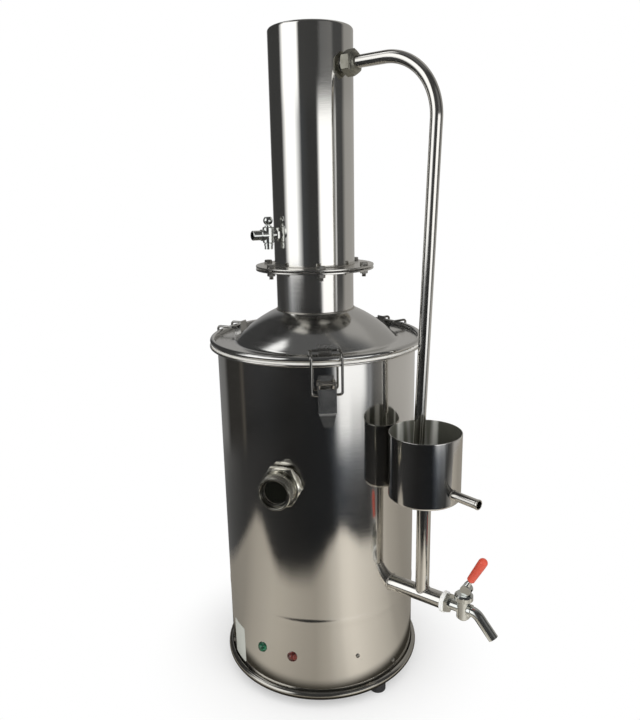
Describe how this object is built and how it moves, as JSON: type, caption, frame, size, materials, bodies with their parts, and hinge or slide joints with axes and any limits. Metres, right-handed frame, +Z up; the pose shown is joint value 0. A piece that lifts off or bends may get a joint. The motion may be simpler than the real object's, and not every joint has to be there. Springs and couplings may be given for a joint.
{
  "type": "electric water distiller",
  "caption": "Tower-type electric water distiller in polished stainless steel: boiler with clamped lid, condenser, return pipe, feed cup, sight window and drain tap",
  "frame": {"origin": "centre of the three feet, on the surface they stand on, on the boiler's vertical axis", "axes": "+Z up along the boiler; -Y is the front, where the front latch and the lamps are; +X is the right-hand side seen from the front"},
  "size_m": [0.3224, 0.3087, 0.778],
  "materials": {
    "polished_steel": "polished stainless steel",
    "lid_steel": "spun and polished stainless steel",
    "satin_steel": "satin stainless steel",
    "zinc_fasteners": "zinc-plated steel",
    "plated_brass": "nickel-plated brass",
    "union_brass": "machined, dull plated",
    "copper_sheath": "tinned copper sheath",
    "black_rubber": "moulded",
    "white_silicone": "moulded",
    "white_nylon": "turned",
    "red_vinyl": "dipped",
    "green_lens": "clear moulded",
    "red_lens": "clear moulded",
    "black_plastic": "moulded",
    "window_glass": "toughened disc",
    "label_foil": "bare foil label"
  },
  "bodies": {
    "distiller": {"base_ring": "polished_steel", "boiler_floor": "satin_steel", "boiler_shell": "polished_steel", "bottom_cover": "satin_steel", "cable_gland": "black_plastic", "case_screws": "zinc_fasteners", "cock_body": "plated_brass", "condenser_cap": "polished_steel", "condenser_core": "satin_steel", "condenser_flange": "satin_steel", "condenser_shell": "polished_steel", "drain_pipe": "satin_steel", "feed_cup": "polished_steel", "flange_bolts": "zinc_fasteners", "flange_gasket": "white_silicone", "flange_nuts": "zinc_fasteners", "foot_studs": "zinc_fasteners", "green_lamp_lens": "green_lens", "heater_fittings": "plated_brass", "heating_elements": "copper_sheath", "lamp_bodies": "black_plastic", "latch_bases": "satin_steel", "lid_catches": "satin_steel", "lid_dome": "lid_steel", "lid_gasket": "white_silicone", "neck_tube": "lid_steel", "overflow_nozzle": "satin_steel", "panel_nuts": "black_plastic", "rating_plate": "label_foil", "red_lamp_lens": "red_lens", "return_pipe": "polished_steel", "rubber_feet": "black_rubber", "sight_cap": "satin_steel", "sight_gaskets": "white_silicone", "sight_glass": "window_glass", "sight_lock_nut": "satin_steel", "sight_port": "satin_steel", "standpipe": "polished_steel", "tap_body": "plated_brass", "tap_bonnet": "plated_brass", "tap_washer": "white_nylon", "terminal_block": "black_plastic", "tower_stubs": "satin_steel", "union_nut": "union_brass"},
    "front_lever": {"front_latch_lever": "satin_steel"},
    "front_bail": {"front_latch_bail": "satin_steel"},
    "right_lever": {"right_latch_lever": "satin_steel"},
    "right_bail": {"right_latch_bail": "satin_steel"},
    "left_lever": {"left_latch_lever": "satin_steel"},
    "left_bail": {"left_latch_bail": "satin_steel"},
    "tap_stem": {"tap_stem": "plated_brass", "tap_seal": "black_rubber"},
    "tap_lever": {"tap_lever": "plated_brass", "lever_grip": "red_vinyl", "lever_pin": "plated_brass"},
    "cock_plug": {"cock_plug": "plated_brass", "cock_knob": "plated_brass", "cock_nut": "plated_brass"}
  },
  "joints": [
    {"name": "front_lever_hinge", "type": "hinge", "parent": "distiller", "child": "front_lever", "pos_m": [0.00972, -0.12345, 0.40574], "axis": [-0.9969, -0.0785, 0], "range_deg": [0, 115]},
    {"name": "front_bail_hinge", "type": "hinge", "parent": "front_lever", "child": "front_bail", "pos_m": [0.01028, -0.1306, 0.3955], "axis": [-0.9969, -0.0785, 0], "range_deg": [-161, 0]},
    {"name": "right_lever_hinge", "type": "hinge", "parent": "distiller", "child": "right_lever", "pos_m": [0.10205, 0.07014, 0.40574], "axis": [0.5664, -0.8241, 0], "range_deg": [0, 115]},
    {"name": "right_bail_hinge", "type": "hinge", "parent": "right_lever", "child": "right_bail", "pos_m": [0.10796, 0.0742, 0.3955], "axis": [0.5664, -0.8241, 0], "range_deg": [-161, 0]},
    {"name": "left_lever_hinge", "type": "hinge", "parent": "distiller", "child": "left_lever", "pos_m": [-0.11177, 0.05331, 0.40574], "axis": [0.4305, 0.9026, 0], "range_deg": [0, 115]},
    {"name": "left_bail_hinge", "type": "hinge", "parent": "left_lever", "child": "left_bail", "pos_m": [-0.11824, 0.0564, 0.3955], "axis": [0.4305, 0.9026, 0], "range_deg": [-161, 0]},
    {"name": "tap_stem_slide", "type": "slide", "parent": "distiller", "child": "tap_stem", "axis": [0, 0, 1], "range_m": [0, 0.0034]},
    {"name": "tap_lever_hinge", "type": "hinge", "parent": "tap_stem", "child": "tap_lever", "pos_m": [0.15928, -0.1411, 0.1684], "axis": [0.6018, 0.7986, 0], "range_deg": [0, 60]},
    {"name": "cock_hinge", "type": "hinge", "parent": "distiller", "child": "cock_plug", "pos_m": [-0.05209, -0.0277, 0.556], "axis": [0, 0, 1], "range_deg": [0, 90]}
  ],
  "couplings": [
    {"joint": "front_bail_hinge", "follows": "front_lever_hinge", "ratio": -1.4},
    {"joint": "right_bail_hinge", "follows": "right_lever_hinge", "ratio": -1.4},
    {"joint": "left_bail_hinge", "follows": "left_lever_hinge", "ratio": -1.4},
    {"joint": "tap_stem_slide", "follows": "tap_lever_hinge", "m_per_rad": 0.003247}
  ]
}
